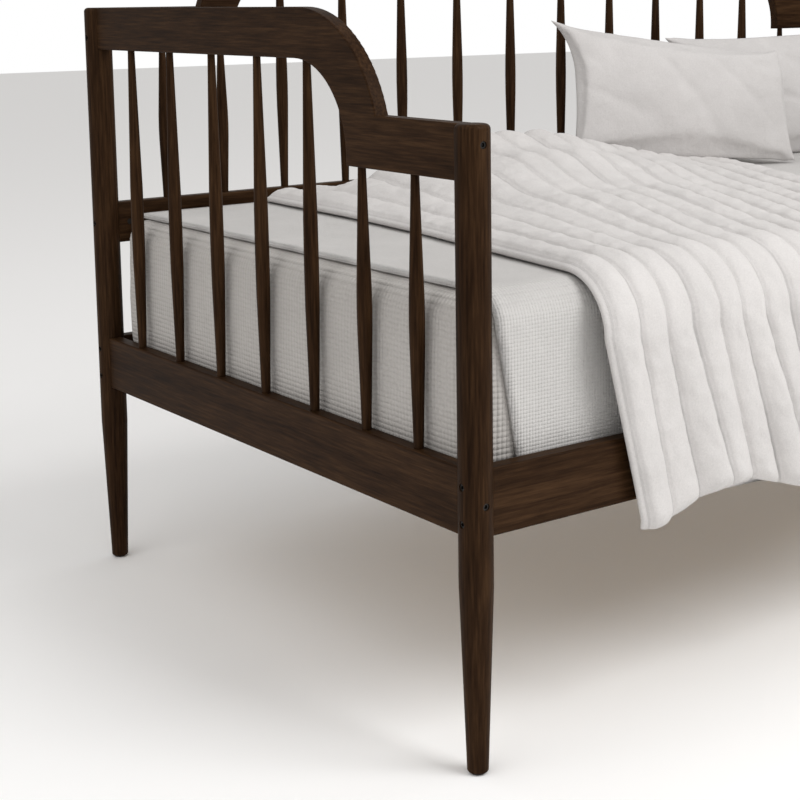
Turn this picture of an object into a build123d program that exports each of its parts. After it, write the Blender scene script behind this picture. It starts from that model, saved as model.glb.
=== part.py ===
"""A spindle daybed with its bedding: round tapered posts, stepped arm boards and back rail with
sweeping curves, turned spindles, bolted rails, a slatted base, a mattress, two covers and two pillows.

Millimetres, +Z up. The origin is on the floor, midway between the four feet. +X runs along the bed to
the right as one faces it, and +Y runs from the open front to the back.
"""

import os
from math import cos, radians, sin

from build123d import *

# Frame, between the centres of the posts
LENGTH = 1950.0
DEPTH = 1051.0
HALF_X = LENGTH / 2
HALF_Y = DEPTH / 2

# Posts and feet
POST_R = 22.5
FOOT_R = 14.0
TAPER_TOP = 250.0  # height where the leg starts to taper
POST_EDGE = 7.0  # rounding of the post's top edge
FOOT_EDGE = 3.0
GLIDE_R = 9.0
GLIDE_H = 2.5
GLIDE_STEM_R = 3.0
GLIDE_STEM = 12.0

# Heights of the frame
RAIL_LOW = 314.0  # underside of the four bed rails
RAIL_H = 89.0
RAIL_TOP = RAIL_LOW + RAIL_H
RAIL_T = 24.0
BOARD_T = 22.0
BOARD_W = 71.0  # width of the shaped boards, across the grain
STEP_TOP = 835.0  # low front step of the arms, and the front posts
ARM_TOP = 976.0  # high part of the arms, low steps of the back, and the back posts
RISE = ARM_TOP - STEP_TOP
BACK_TOP = ARM_TOP + RISE
BACK_RAIL_TOP = 640.0  # upper edge of the rail that the back spindles stand on
EDGE = 2.0  # easing of the boards' edges
RAIL_EDGE = 3.0

# The sweeping curves, measured from the centre of the post beside the step
CURVE_R = 200.0
CURVE_X = 384.5  # centre of the outer curve
CURVE_DROP = RISE - CURVE_R  # its centre, above the top of the step
UNDER_R = CURVE_R - BOARD_W
ARM_UNDER_X = 394.0  # centre of the arm's inner curve
HOUSING = 8.0  # how deep a board sits in the round post
END_GAP = POST_R - HOUSING  # from the post's centre to the end of a rail or board

# Spindles
SPINDLE_BASE_R = 6.8
SPINDLE_TOP_R = 5.7
SPINDLE_BELLY_R = 10.4
SPINDLE_CROWN = 0.35
SPINDLE_SWELL = 150.0  # height where the belly starts
SPINDLE_SWELL_SHARE = 0.38  # the same on a short spindle, as a share of its length
SPINDLE_TAPER_SHARE = 0.55  # where the belly ends
SOCKET = 12.0
NECK = 5.0  # the spindle's upper tenon starts this far below the board
ARM_STEP_SPINDLES = (121.0, 243.0)  # from the front post
ARM_FIRST = 376.3
ARM_PITCH = 137.5
ARM_COUNT = 5
BACK_PITCH = 136.0
BACK_COUNT = 10
BACK_STEP_SPINDLES = (739.3, 855.3)  # from the middle of the back

# Joint hardware
BOLT_R = 3.0
BOLT_HEAD_R = 4.7
BOLT_HEAD_H = 5.0
BORE_R = 3.1
SINK_R = 5.0
SINK = 7.0
BOLT_PAST_NUT = 8.0
HEX_R = 2.9
HEX_DEPTH = 2.5
NUT_R = 5.0
NUT_L = 14.0
NUT_HOLE_R = 5.1
NUT_BORE_R = 3.05
NUT_SINK = 1.0  # the nut's end lies this far under the inner face
NUT_X = 40.0  # from the post's centre to the barrel nut
RAIL_BOLT_GAP = 48.0
RAIL_MID = RAIL_LOW + RAIL_H / 2
RAIL_BOLTS = (RAIL_MID - RAIL_BOLT_GAP / 2, RAIL_MID + RAIL_BOLT_GAP / 2)
BACK_RAIL_MID = BACK_RAIL_TOP - BOARD_W / 2
ARM_BOLT_DOWN = 25.0  # from the top of the board
BACK_BOLT_DOWN = 51.0

# Slatted base
CLEAT_LOW = 317.0
CLEAT_H = 25.0
CLEAT_T = 20.0
CLEAT_L = 1880.0
CLEAT_SCREWS = 6
CLEAT_SCREW_INSET = 100.0  # first and last screw, from the cleat's ends
SLAT_T = 15.0
SLAT_W = 68.0
SLAT_COUNT = 13
SLAT_SPAN = 1760.0  # first slat to last
SLAT_L = 1020.0
SLAT_TOP = CLEAT_LOW + CLEAT_H + SLAT_T
STRAP_W = 25.0
STRAP_T = 1.2
STRAP_Y = 440.0  # from the middle of the bed
SCREW_R = 2.0
SCREW_HEAD_R = 4.0
SCREW_HEAD_H = 2.2
SCREW_HOLE_R = 2.1
SCREW_L = CLEAT_T + SOCKET - 1

# Mattress
MATTRESS_L = 1916.0
MATTRESS_FRONT = -501.5
MATTRESS_BACK = 502.5
MATTRESS_H = 254.0
MATTRESS_LOW = SLAT_TOP + 0.4
MATTRESS_TOP = MATTRESS_LOW + MATTRESS_H
MATTRESS_CORNER = 60.0
MATTRESS_EDGE = 40.0

# Covers. The lower one is tucked inside the front rail, the quilt hangs over it.
COVER_GAP = 0.5
COVERLET_T = 9.0
COVERLET_HALF_L = 925.0
COVERLET_LOW = 372.0
COVERLET_BACK = 492.0
COVERLET_TOP = MATTRESS_TOP + COVER_GAP + COVERLET_T
TURN_Y = MATTRESS_FRONT + MATTRESS_EDGE  # centre of the turn over the mattress edge
TURN_Z = MATTRESS_TOP - MATTRESS_EDGE

CHANNELS = 15
QUILT_FRONT_X = (-768.0, -45.0)  # left and right hem where it turns down over the edge
QUILT_HEM_X = (-706.0, 95.0)  # the same at the bottom
QUILT_T = 20.0
QUILT_PUFF = 8.0
QUILT_MOUND = 93.0
QUILT_GAP = 0.8
QUILT_TURN_R = 78.5  # it arches wide over the edge, and then falls clear of the front rail
QUILT_TURN_STEPS = 5
MOUND_SPAN = (-0.02, 0.39, 0.98)  # where the heap starts, peaks and ends, in shares of the width
QUILT_LOW = 268.0
# From the back: Y, left hem, right hem, and how high the quilt is heaped there
QUILT_ROWS = (
    (478.0, -680.0, 296.0, 0.0),
    (400.0, -684.0, 354.0, 0.05),
    (330.0, -688.0, 374.0, 1.0),
    (180.0, -692.0, 310.0, 0.72),
    (-60.0, -712.0, 188.0, 0.25),
    (TURN_Y, *QUILT_FRONT_X, 0.0),
)

# Pillows
PILLOW_L = 590.0
PILLOW_H = 270.0
PILLOW_T = 88.0
PILLOW_IN = 14.0  # how far the sides are drawn in between the corners
# Their rings, as shares: distance from the middle, length, height
PILLOW_RINGS = ((0.0, 1.0, 1.0), (0.30, 0.93, 0.86), (0.43, 0.78, 0.66), (0.5, 0.45, 0.34))
REAR_PILLOW = (637.0, 461.0)
REAR_LEAN = 8.0  # degrees back from upright
FRONT_PILLOW = (288.0, 396.0)
FRONT_TURN = 12.0  # degrees, its right end towards the front
FRONT_LEAN = 12.0
FRONT_ROLL = 4.0  # its left end raised, where it rests on the quilt
REAR_REST = 1.5  # over the coverlet
FRONT_REST = 14.5  # over the coverlet, as it stands partly on the quilt

os.makedirs("parts", exist_ok=True)


def save(part, label):
    """Names a finished piece and writes it."""
    part.label = label
    export_step(part, f"parts/{label}.step")


def save_group(solids, label):
    """Writes separate solids of one kind as one group."""
    save(Compound(children=list(solids)), label)


def end_plane(x, y, z, toward):
    """A plane at a point, facing along the unit direction (dx, dy)."""
    return Plane(origin=(x, y, z), x_dir=(-toward[1], toward[0], 0), z_dir=(toward[0], toward[1], 0))


def post(label, x, y, top, members):
    """A turned post. members are (toward, thickness, low, high, bolt heights) of what it carries."""
    with BuildPart() as piece:
        with BuildSketch(Plane(origin=(x, y, 0), x_dir=(1, 0, 0), z_dir=(0, -1, 0))):
            with BuildLine():
                Polyline(
                    (0, GLIDE_H),
                    (FOOT_R, GLIDE_H),
                    (POST_R, TAPER_TOP),
                    (POST_R, top),
                    (0, top),
                    close=True,
                )
            make_face()
        revolve(axis=Axis((x, y, 0), (0, 0, 1)))
        rims = piece.edges().filter_by(GeomType.CIRCLE).sort_by(Axis.Z)
        fillet(rims[-1], POST_EDGE)
        fillet(piece.edges().filter_by(GeomType.CIRCLE).sort_by(Axis.Z)[0], FOOT_EDGE)
        with Locations(Plane(origin=(x, y, GLIDE_H), z_dir=(0, 0, -1))):
            Hole(GLIDE_STEM_R, depth=GLIDE_STEM)
        for toward, thickness, low, high, heights in members:
            middle = END_GAP + HOUSING
            with BuildSketch(Plane.XY.offset(low)):
                with Locations((x + toward[0] * middle, y + toward[1] * middle)):
                    wide = thickness if toward[0] == 0 else 2 * HOUSING
                    deep = thickness if toward[1] == 0 else 2 * HOUSING
                    Rectangle(wide, deep)
            extrude(amount=high - low, mode=Mode.SUBTRACT)
            for z in heights:
                back = (-toward[0], -toward[1])
                with Locations(end_plane(x + back[0] * POST_R, y + back[1] * POST_R, z, back)):
                    CounterBoreHole(BORE_R, SINK_R, SINK, depth=POST_R + END_GAP)
    save(piece.part, label)


def end_bores(ends, inward, thickness):
    """Bolt bores and barrel nut holes in the ends of a rail or board, inside its part block.

    ends are (post x, post y, toward, height); inward is the unit direction its inner face looks to.
    """
    for x, y, toward, z in ends:
        back = (-toward[0], -toward[1])
        with Locations(end_plane(x + toward[0] * END_GAP, y + toward[1] * END_GAP, z, back)):
            Hole(BORE_R, depth=NUT_X + BOLT_PAST_NUT - END_GAP)
        half = thickness / 2
        face = (x + toward[0] * NUT_X + inward[0] * half, y + toward[1] * NUT_X + inward[1] * half)
        with Locations(end_plane(*face, z, inward)):
            Hole(NUT_HOLE_R, depth=half + NUT_L / 2)


def rail(label, ends, thickness, low, height, inward, bolts, sockets=(), screws=()):
    """A straight rail between two posts, given as their centres.

    sockets are distances along it from its middle where spindles stand, and screws where the cleat's
    screws enter its inner face.
    """
    (x0, y0), (x1, y1) = ends
    along = (1, 0) if y0 == y1 else (0, 1)
    length = (x1 - x0) + (y1 - y0) - 2 * END_GAP
    mid_x, mid_y = (x0 + x1) / 2, (y0 + y1) / 2
    start = Plane(
        origin=(x0 + along[0] * END_GAP, y0 + along[1] * END_GAP, low + height / 2),
        x_dir=(-along[1], along[0], 0),
        z_dir=(along[0], along[1], 0),
    )
    with BuildPart() as piece:
        with BuildSketch(start):
            RectangleRounded(thickness, height, RAIL_EDGE)
        extrude(amount=length)
        places = [(x0, y0, along, z) for z in bolts]
        places += [(x1, y1, (-along[0], -along[1]), z) for z in bolts]
        end_bores(places, inward, thickness)
        for s in sockets:
            with Locations(Plane(origin=(mid_x + along[0] * s, mid_y + along[1] * s, low + height))):
                Hole(SPINDLE_BASE_R, depth=SOCKET)
        for s in screws:
            out_x, out_y = inward[0] * thickness / 2, inward[1] * thickness / 2
            face = (mid_x + along[0] * s + out_x, mid_y + along[1] * s + out_y)
            with Locations(end_plane(*face, CLEAT_LOW + CLEAT_H / 2, inward)):
                Hole(SCREW_HOLE_R, depth=SOCKET)
    save(piece.part, label)


def curve_start(step_top, level):
    """How far from its centre the outer curve passes, at a height."""
    rise = level - (step_top + CURVE_DROP)
    return (CURVE_R**2 - rise**2) ** 0.5


def arm_outline():
    """The arm board's outline in the YZ plane, as distance from the front post and height."""
    start = CURVE_X - curve_start(STEP_TOP, STEP_TOP)
    centre_z = STEP_TOP + CURVE_DROP
    lean = radians(45)
    under_z = ARM_TOP - BOARD_W - UNDER_R
    corner = (ARM_UNDER_X - UNDER_R, STEP_TOP - BOARD_W)
    Polyline(
        (CURVE_X, ARM_TOP),
        (DEPTH - END_GAP, ARM_TOP),
        (DEPTH - END_GAP, ARM_TOP - BOARD_W),
        (ARM_UNDER_X, ARM_TOP - BOARD_W),
    )
    ThreePointArc(
        (ARM_UNDER_X, ARM_TOP - BOARD_W),
        (ARM_UNDER_X - UNDER_R * cos(lean), under_z + UNDER_R * sin(lean)),
        (ARM_UNDER_X - UNDER_R, under_z),
    )
    Polyline(
        (ARM_UNDER_X - UNDER_R, under_z),
        corner,
        (END_GAP, STEP_TOP - BOARD_W),
        (END_GAP, STEP_TOP),
        (start, STEP_TOP),
    )
    ThreePointArc(
        (start, STEP_TOP),
        (CURVE_X - CURVE_R * cos(lean), centre_z + CURVE_R * sin(lean)),
        (CURVE_X, ARM_TOP),
    )


def arm_board(label, x, inward):
    """The stepped arm board, from the front post's top up to the back post's."""
    with BuildPart() as piece:
        with BuildSketch(Plane(origin=(x - BOARD_T / 2, -HALF_Y, 0), x_dir=(0, 1, 0), z_dir=(1, 0, 0))):
            with BuildLine():
                arm_outline()
            make_face()
        extrude(amount=BOARD_T)
        faces = piece.faces().filter_by(Axis.X)
        fillet(faces.edges(), EDGE)
        places = [
            (x, -HALF_Y, (0, 1), STEP_TOP - ARM_BOLT_DOWN),
            (x, HALF_Y, (0, -1), ARM_TOP - ARM_BOLT_DOWN),
        ]
        end_bores(places, inward, BOARD_T)
        for y, top in arm_spindles():
            with Locations(Plane(origin=(x, y, top - NECK), z_dir=(0, 0, -1))):
                Hole(SPINDLE_TOP_R, depth=SOCKET + NECK)
    save(piece.part, label)


def arm_spindles():
    """Where each arm spindle stands, as its Y and the height where it enters the arm board."""
    low = [(d - HALF_Y, STEP_TOP - BOARD_W) for d in ARM_STEP_SPINDLES]
    high = [(ARM_FIRST + ARM_PITCH * i - HALF_Y, ARM_TOP - BOARD_W) for i in range(ARM_COUNT)]
    return low + high


def back_spindles():
    """Where each back spindle stands, as its X and the height where it enters the top rail."""
    main = [(BACK_PITCH * (i - (BACK_COUNT - 1) / 2), BACK_TOP - BOARD_W) for i in range(BACK_COUNT)]
    steps = [(side * x, ARM_TOP - BOARD_W) for side in (-1, 1) for x in BACK_STEP_SPINDLES]
    return sorted(main + steps)


def back_top_half(side):
    """One half of the back top rail's outline in the XZ plane, from the middle to a post."""
    centre_x = HALF_X - CURVE_X
    centre_z = ARM_TOP + CURVE_DROP
    lean = radians(45)
    start = centre_x + curve_start(ARM_TOP, ARM_TOP)
    under_z = BACK_TOP - BOARD_W - UNDER_R
    out = HALF_X - END_GAP
    Line((0, BACK_TOP), (side * centre_x, BACK_TOP))
    ThreePointArc(
        (side * centre_x, BACK_TOP),
        (side * (centre_x + CURVE_R * cos(lean)), centre_z + CURVE_R * sin(lean)),
        (side * start, ARM_TOP),
    )
    Polyline(
        (side * start, ARM_TOP),
        (side * out, ARM_TOP),
        (side * out, ARM_TOP - BOARD_W),
        (side * (centre_x + UNDER_R), ARM_TOP - BOARD_W),
        (side * (centre_x + UNDER_R), under_z),
    )
    ThreePointArc(
        (side * (centre_x + UNDER_R), under_z),
        (side * (centre_x + UNDER_R * cos(lean)), under_z + UNDER_R * sin(lean)),
        (side * centre_x, BACK_TOP - BOARD_W),
    )
    Line((side * centre_x, BACK_TOP - BOARD_W), (0, BACK_TOP - BOARD_W))


def back_top_rail():
    """The stepped rail over the back, with a curve up from a low step at each end."""
    with BuildPart() as piece:
        with BuildSketch(Plane(origin=(0, HALF_Y + BOARD_T / 2, 0), x_dir=(1, 0, 0), z_dir=(0, -1, 0))):
            with BuildLine():
                back_top_half(1)
                back_top_half(-1)
            make_face()
        extrude(amount=BOARD_T)
        faces = piece.faces().filter_by(Axis.Y)
        fillet(faces.edges(), EDGE)
        level = ARM_TOP - BACK_BOLT_DOWN
        ends = [(-HALF_X, HALF_Y, (1, 0), level), (HALF_X, HALF_Y, (-1, 0), level)]
        end_bores(ends, (0, -1), BOARD_T)
        for x, top in back_spindles():
            with Locations(Plane(origin=(x, HALF_Y, top - NECK), z_dir=(0, 0, -1))):
                Hole(SPINDLE_TOP_R, depth=SOCKET + NECK)
    save(piece.part, "back_top_rail")


def spindle(label, x, y, low, high):
    """A turned spindle: a long lower cone, a softly crowned belly and a longer upper cone."""
    tall = high - low
    swell = min(SPINDLE_SWELL, SPINDLE_SWELL_SHARE * tall)
    shrink = SPINDLE_TAPER_SHARE * tall
    with BuildPart() as piece:
        with BuildSketch(Plane(origin=(x, y, low), x_dir=(1, 0, 0), z_dir=(0, -1, 0))):
            with BuildLine():
                Polyline(
                    (0, -SOCKET),
                    (SPINDLE_BASE_R, -SOCKET),
                    (SPINDLE_BASE_R, 0),
                    (SPINDLE_BELLY_R, swell),
                    (SPINDLE_BELLY_R + SPINDLE_CROWN, (swell + shrink) / 2),
                    (SPINDLE_BELLY_R, shrink),
                    (SPINDLE_TOP_R, tall - NECK),
                    (SPINDLE_TOP_R, tall + SOCKET),
                    (0, tall + SOCKET),
                    close=True,
                )
            make_face()
        revolve(axis=Axis((x, y, 0), (0, 0, 1)))
    save(piece.part, label)


def joint_bolt(x, y, toward, z):
    """One bolt through a post into a rail's end: a round head with a hex socket, and its shank."""
    back = (-toward[0], -toward[1])
    seat = POST_R - SINK
    with BuildPart() as bolt:
        with BuildSketch(end_plane(x + back[0] * seat, y + back[1] * seat, z, back)):
            Circle(BOLT_HEAD_R)
        extrude(amount=BOLT_HEAD_H)
        with BuildSketch(end_plane(x + back[0] * seat, y + back[1] * seat, z, toward)):
            Circle(BOLT_R)
        extrude(amount=seat + NUT_X + BOLT_PAST_NUT - 1)
        top = seat + BOLT_HEAD_H
        with BuildSketch(end_plane(x + back[0] * top, y + back[1] * top, z, back)):
            RegularPolygon(HEX_R, 6)
        extrude(amount=-HEX_DEPTH, mode=Mode.SUBTRACT)
    return bolt.part


def barrel_nut(x, y, toward, z, inward, thickness):
    """One barrel nut, across the bolt, with its end just under the inner face."""
    near = thickness / 2 - NUT_SINK
    place = (x + toward[0] * NUT_X + inward[0] * near, y + toward[1] * NUT_X + inward[1] * near)
    with BuildPart() as nut:
        with BuildSketch(end_plane(*place, z, inward)):
            Circle(NUT_R)
        extrude(amount=-(near + NUT_L / 2))
        side = NUT_X - NUT_R
        back = (-toward[0], -toward[1])
        with Locations(end_plane(x + toward[0] * side, y + toward[1] * side, z, back)):
            Hole(NUT_BORE_R, depth=2 * NUT_R)
    return nut.part


def joint_places():
    """Every bolted joint, as post centre, direction into the member, height, and the member's inner
    face and thickness."""
    places = []
    for side in (-1, 1):
        x = side * HALF_X
        into = (-side, 0)
        for z in RAIL_BOLTS:
            places.append((x, -HALF_Y, into, z, (0, 1), RAIL_T))
            places.append((x, HALF_Y, into, z, (0, -1), RAIL_T))
        places.append((x, HALF_Y, into, BACK_RAIL_MID, (0, -1), BOARD_T))
        places.append((x, HALF_Y, into, ARM_TOP - BACK_BOLT_DOWN, (0, -1), BOARD_T))
        places.append((x, -HALF_Y, (0, 1), RAIL_MID, into, RAIL_T))
        places.append((x, HALF_Y, (0, -1), RAIL_MID, into, RAIL_T))
        places.append((x, -HALF_Y, (0, 1), STEP_TOP - ARM_BOLT_DOWN, into, BOARD_T))
        places.append((x, HALF_Y, (0, -1), ARM_TOP - ARM_BOLT_DOWN, into, BOARD_T))
    return places


def wood_screw(plane):
    """One countersunk screw, its head flush with the plane and its shank behind it."""
    with BuildPart() as screw:
        with BuildSketch(plane):
            Circle(SCREW_HEAD_R)
        with BuildSketch(plane.offset(-SCREW_HEAD_H)):
            Circle(SCREW_R)
        loft()
        with BuildSketch(plane.offset(-SCREW_HEAD_H)):
            Circle(SCREW_R)
        extrude(amount=-(SCREW_L - SCREW_HEAD_H))
    return screw.part


def cleat_screw_spots():
    """Distances from the middle of a cleat to its screws."""
    step = (CLEAT_L - 2 * CLEAT_SCREW_INSET) / (CLEAT_SCREWS - 1)
    return [step * (i - (CLEAT_SCREWS - 1) / 2) for i in range(CLEAT_SCREWS)]


def cleat_face(side, s):
    """The plane of a screw's head on a cleat. side is -1 at the front, 1 at the back."""
    y = side * (HALF_Y - RAIL_T / 2 - CLEAT_T)
    return end_plane(s, y, CLEAT_LOW + CLEAT_H / 2, (0, -side))


def slat_spots():
    """The X of each slat's middle."""
    step = SLAT_SPAN / (SLAT_COUNT - 1)
    return [step * (i - (SLAT_COUNT - 1) / 2) for i in range(SLAT_COUNT)]


def cleat(label, side):
    """The strip that the slats rest on, screwed to the inner face of a rail."""
    with BuildPart() as piece:
        with BuildSketch(Plane.XY.offset(CLEAT_LOW)):
            with Locations((0, side * (HALF_Y - RAIL_T / 2 - CLEAT_T / 2))):
                Rectangle(CLEAT_L, CLEAT_T)
        extrude(amount=CLEAT_H)
        for s in cleat_screw_spots():
            with Locations(cleat_face(side, s)):
                CounterSinkHole(SCREW_HOLE_R, SCREW_HEAD_R, depth=CLEAT_T)
    save(piece.part, label)


def slats():
    """The bed slats, one solid each."""
    made = []
    for x in slat_spots():
        with BuildPart() as slat:
            with BuildSketch(Plane.XY.offset(SLAT_TOP - SLAT_T)):
                with Locations((x, 0)):
                    Rectangle(SLAT_W, SLAT_L)
            extrude(amount=SLAT_T)
        made.append(slat.part)
    save_group(made, "bed_slats")


def slat_straps():
    """The two webbing bands under the slats, which keep them at their spacing."""
    made = []
    for y in (-STRAP_Y, STRAP_Y):
        with BuildPart() as strap:
            with BuildSketch(Plane.XY.offset(SLAT_TOP - SLAT_T)):
                with Locations((0, y)):
                    Rectangle(SLAT_SPAN + SLAT_W, STRAP_W)
            extrude(amount=-STRAP_T)
        made.append(strap.part)
    save_group(made, "slat_straps")


def glides():
    """The nylon glides under the feet."""
    made = []
    for x in (-HALF_X, HALF_X):
        for y in (-HALF_Y, HALF_Y):
            with BuildPart() as glide:
                with BuildSketch(Plane(origin=(x, y, 0))):
                    Circle(GLIDE_R)
                extrude(amount=GLIDE_H)
                with BuildSketch(Plane(origin=(x, y, GLIDE_H))):
                    Circle(GLIDE_STEM_R)
                extrude(amount=GLIDE_STEM - 1)
            made.append(glide.part)
    save_group(made, "foot_glides")


def mattress():
    """The mattress, with rounded corners and soft upper and lower edges."""
    with BuildPart() as piece:
        with BuildSketch(Plane.XY.offset(MATTRESS_LOW)):
            with Locations((0, (MATTRESS_FRONT + MATTRESS_BACK) / 2)):
                RectangleRounded(MATTRESS_L, MATTRESS_BACK - MATTRESS_FRONT, MATTRESS_CORNER)
        extrude(amount=MATTRESS_H)
        fillet(piece.faces().sort_by(Axis.Z)[-1].edges(), MATTRESS_EDGE)
        fillet(piece.faces().sort_by(Axis.Z)[0].edges(), MATTRESS_EDGE / 2)
    save(piece.part, "mattress")


def coverlet():
    """The lower cover: flat over the mattress, round its front edge and down inside the rail."""
    inner = MATTRESS_EDGE + COVER_GAP
    outer = inner + COVERLET_T
    with BuildPart() as piece:
        with BuildSketch(Plane(origin=(-COVERLET_HALF_L, 0, 0), x_dir=(0, 1, 0), z_dir=(1, 0, 0))):
            with BuildLine():
                Polyline(
                    (TURN_Y, TURN_Z + outer),
                    (COVERLET_BACK, TURN_Z + outer),
                    (COVERLET_BACK, TURN_Z + inner),
                    (TURN_Y, TURN_Z + inner),
                )
                RadiusArc((TURN_Y, TURN_Z + inner), (TURN_Y - inner, TURN_Z), -inner)
                Polyline(
                    (TURN_Y - inner, TURN_Z),
                    (TURN_Y - inner, COVERLET_LOW),
                    (TURN_Y - outer, COVERLET_LOW),
                    (TURN_Y - outer, TURN_Z),
                )
                RadiusArc((TURN_Y - outer, TURN_Z), (TURN_Y, TURN_Z + outer), outer)
            make_face()
        extrude(amount=2 * COVERLET_HALF_L)
    save(piece.part, "coverlet")


def bump(value, low, peak, high):
    """A smooth hump from 0 at low up to 1 at peak and back to 0 at high."""
    if value <= low or value >= high:
        return 0.0
    t = (value - low) / (peak - low) if value < peak else (high - value) / (high - peak)
    return t * t * (3 - 2 * t)


def channel_row(left, right, heap):
    """Lines round one cross-section of the quilt: a flat underside and a row of puffed channels."""
    pitch = (right - left) / CHANNELS
    rise = [QUILT_MOUND * heap * bump(i / CHANNELS, *MOUND_SPAN) for i in range(CHANNELS + 1)]
    tops = [(left + pitch * i, QUILT_T + rise[i]) for i in range(CHANNELS + 1)]
    for a, b in zip(tops, tops[1:]):
        ThreePointArc(a, ((a[0] + b[0]) / 2, (a[1] + b[1]) / 2 + QUILT_PUFF), b)
    Polyline(tops[-1], (right, 0), (left, 0), tops[0])


def hems_at(share):
    """The hems of the hanging part, a share of the way down from the edge to the bottom hem."""
    return [a + (b - a) * share for a, b in zip(QUILT_FRONT_X, QUILT_HEM_X)]


def quilt_stations():
    """The planes of the quilt's cross-sections, with the two hems and the heap at each."""
    base = COVERLET_TOP + QUILT_GAP
    centre_z = base - QUILT_TURN_R
    stations = []
    for y, left, right, heap in QUILT_ROWS:
        plane = Plane(origin=(0, y, base), x_dir=(1, 0, 0), z_dir=(0, -1, 0))
        stations.append((plane, (left, right), heap))
    for step in range(1, QUILT_TURN_STEPS + 1):
        a = radians(90 * step / QUILT_TURN_STEPS)
        y, z = TURN_Y - QUILT_TURN_R * sin(a), centre_z + QUILT_TURN_R * cos(a)
        plane = Plane(origin=(0, y, z), x_dir=(1, 0, 0), z_dir=(0, -cos(a), -sin(a)))
        stations.append((plane, QUILT_FRONT_X, 0.0))
    for level in (RAIL_TOP, QUILT_LOW):
        plane = Plane(origin=(0, TURN_Y - QUILT_TURN_R, level), x_dir=(1, 0, 0), z_dir=(0, 0, -1))
        stations.append((plane, hems_at((centre_z - level) / (centre_z - QUILT_LOW)), 0.0))
    return stations


def quilt():
    """The quilt: channels sewn from back to front, heaped at the back, gathered where it turns down
    over the edge of the bed, and hanging outside the front rail."""
    with BuildPart() as piece:
        for plane, hems, heap in quilt_stations():
            with BuildSketch(plane):
                with BuildLine():
                    channel_row(*hems, heap)
                make_face()
        loft(ruled=True)
    save(piece.part, "quilt")


def pillow_ring(length, height, drawn):
    """A pillow's outline: four corners joined by sides that draw in between them."""
    a, b = length / 2, height / 2
    ThreePointArc((-a, -b), (0, -b + drawn), (a, -b))
    ThreePointArc((a, -b), (a - drawn, 0), (a, b))
    ThreePointArc((a, b), (0, b - drawn), (-a, b))
    ThreePointArc((-a, b), (-a + drawn, 0), (-a, -b))


def pillow(label, plane):
    """A pillow, crowned on both faces. The plane holds its seam, x along it and y up it."""
    with BuildPart() as piece:
        for side in (-1, 1):
            for level, long, tall in PILLOW_RINGS:
                with BuildSketch(plane.offset(side * level * PILLOW_T)):
                    with BuildLine():
                        pillow_ring(PILLOW_L * long, PILLOW_H * tall, PILLOW_IN * tall)
                    make_face()
            loft(ruled=True)
    save(piece.part, label)


def pillow_plane(place, rest, turn, lean, roll):
    """The seam plane of a pillow that stands on its long side, a rest above the coverlet, in degrees:
    turned about the vertical, then leaning back, then rolled so that its left end is up."""
    a, b, c = radians(turn), radians(lean), radians(roll)
    along = Vector(cos(a), -sin(a), 0)
    out = Vector(-sin(a) * cos(b), -cos(a) * cos(b), sin(b))
    rise = PILLOW_H / 2 * cos(b) + PILLOW_L / 2 * sin(c)
    middle = (*place, COVERLET_TOP + rest + rise)
    return Plane(origin=middle, x_dir=along * cos(c) - out.cross(along) * sin(c), z_dir=out)


LEFT, RIGHT = -HALF_X, HALF_X
FRONT, BACK = -HALF_Y, HALF_Y
RAIL_ENTRY = (RAIL_T, RAIL_LOW, RAIL_TOP)

for side_name, x, into in (("left", LEFT, (1, 0)), ("right", RIGHT, (-1, 0))):
    inward = into
    post(
        f"front_{side_name}_post",
        x,
        FRONT,
        STEP_TOP,
        [
            (into, *RAIL_ENTRY, RAIL_BOLTS),
            ((0, 1), *RAIL_ENTRY, (RAIL_MID,)),
            ((0, 1), BOARD_T, STEP_TOP - BOARD_W, STEP_TOP, (STEP_TOP - ARM_BOLT_DOWN,)),
        ],
    )
    post(
        f"back_{side_name}_post",
        x,
        BACK,
        ARM_TOP,
        [
            (into, *RAIL_ENTRY, RAIL_BOLTS),
            ((0, -1), *RAIL_ENTRY, (RAIL_MID,)),
            ((0, -1), BOARD_T, ARM_TOP - BOARD_W, ARM_TOP, (ARM_TOP - ARM_BOLT_DOWN,)),
            (into, BOARD_T, BACK_RAIL_TOP - BOARD_W, BACK_RAIL_TOP, (BACK_RAIL_MID,)),
            (into, BOARD_T, ARM_TOP - BOARD_W, ARM_TOP, (ARM_TOP - BACK_BOLT_DOWN,)),
        ],
    )
    sockets = [y for y, top in arm_spindles()]
    ends = ((x, FRONT), (x, BACK))
    rail(f"{side_name}_side_rail", ends, RAIL_T, RAIL_LOW, RAIL_H, inward, (RAIL_MID,), sockets)
    arm_board(f"{side_name}_arm_board", x, inward)
    for i, (y, top) in enumerate(arm_spindles()):
        spindle(f"{side_name}_arm_spindle_{i + 1}", x, y, RAIL_TOP, top)

spots = cleat_screw_spots()
front_ends = ((LEFT, FRONT), (RIGHT, FRONT))
back_ends = ((LEFT, BACK), (RIGHT, BACK))
rail("front_rail", front_ends, RAIL_T, RAIL_LOW, RAIL_H, (0, 1), RAIL_BOLTS, (), spots)
rail("back_base_rail", back_ends, RAIL_T, RAIL_LOW, RAIL_H, (0, -1), RAIL_BOLTS, (), spots)
feet_of_back = [x for x, top in back_spindles()]
rail(
    "back_lower_rail",
    back_ends,
    BOARD_T,
    BACK_RAIL_TOP - BOARD_W,
    BOARD_W,
    (0, -1),
    (BACK_RAIL_MID,),
    feet_of_back,
)
back_top_rail()
for i, (x, top) in enumerate(back_spindles()):
    spindle(f"back_spindle_{i + 1}", x, BACK, BACK_RAIL_TOP, top)

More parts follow.
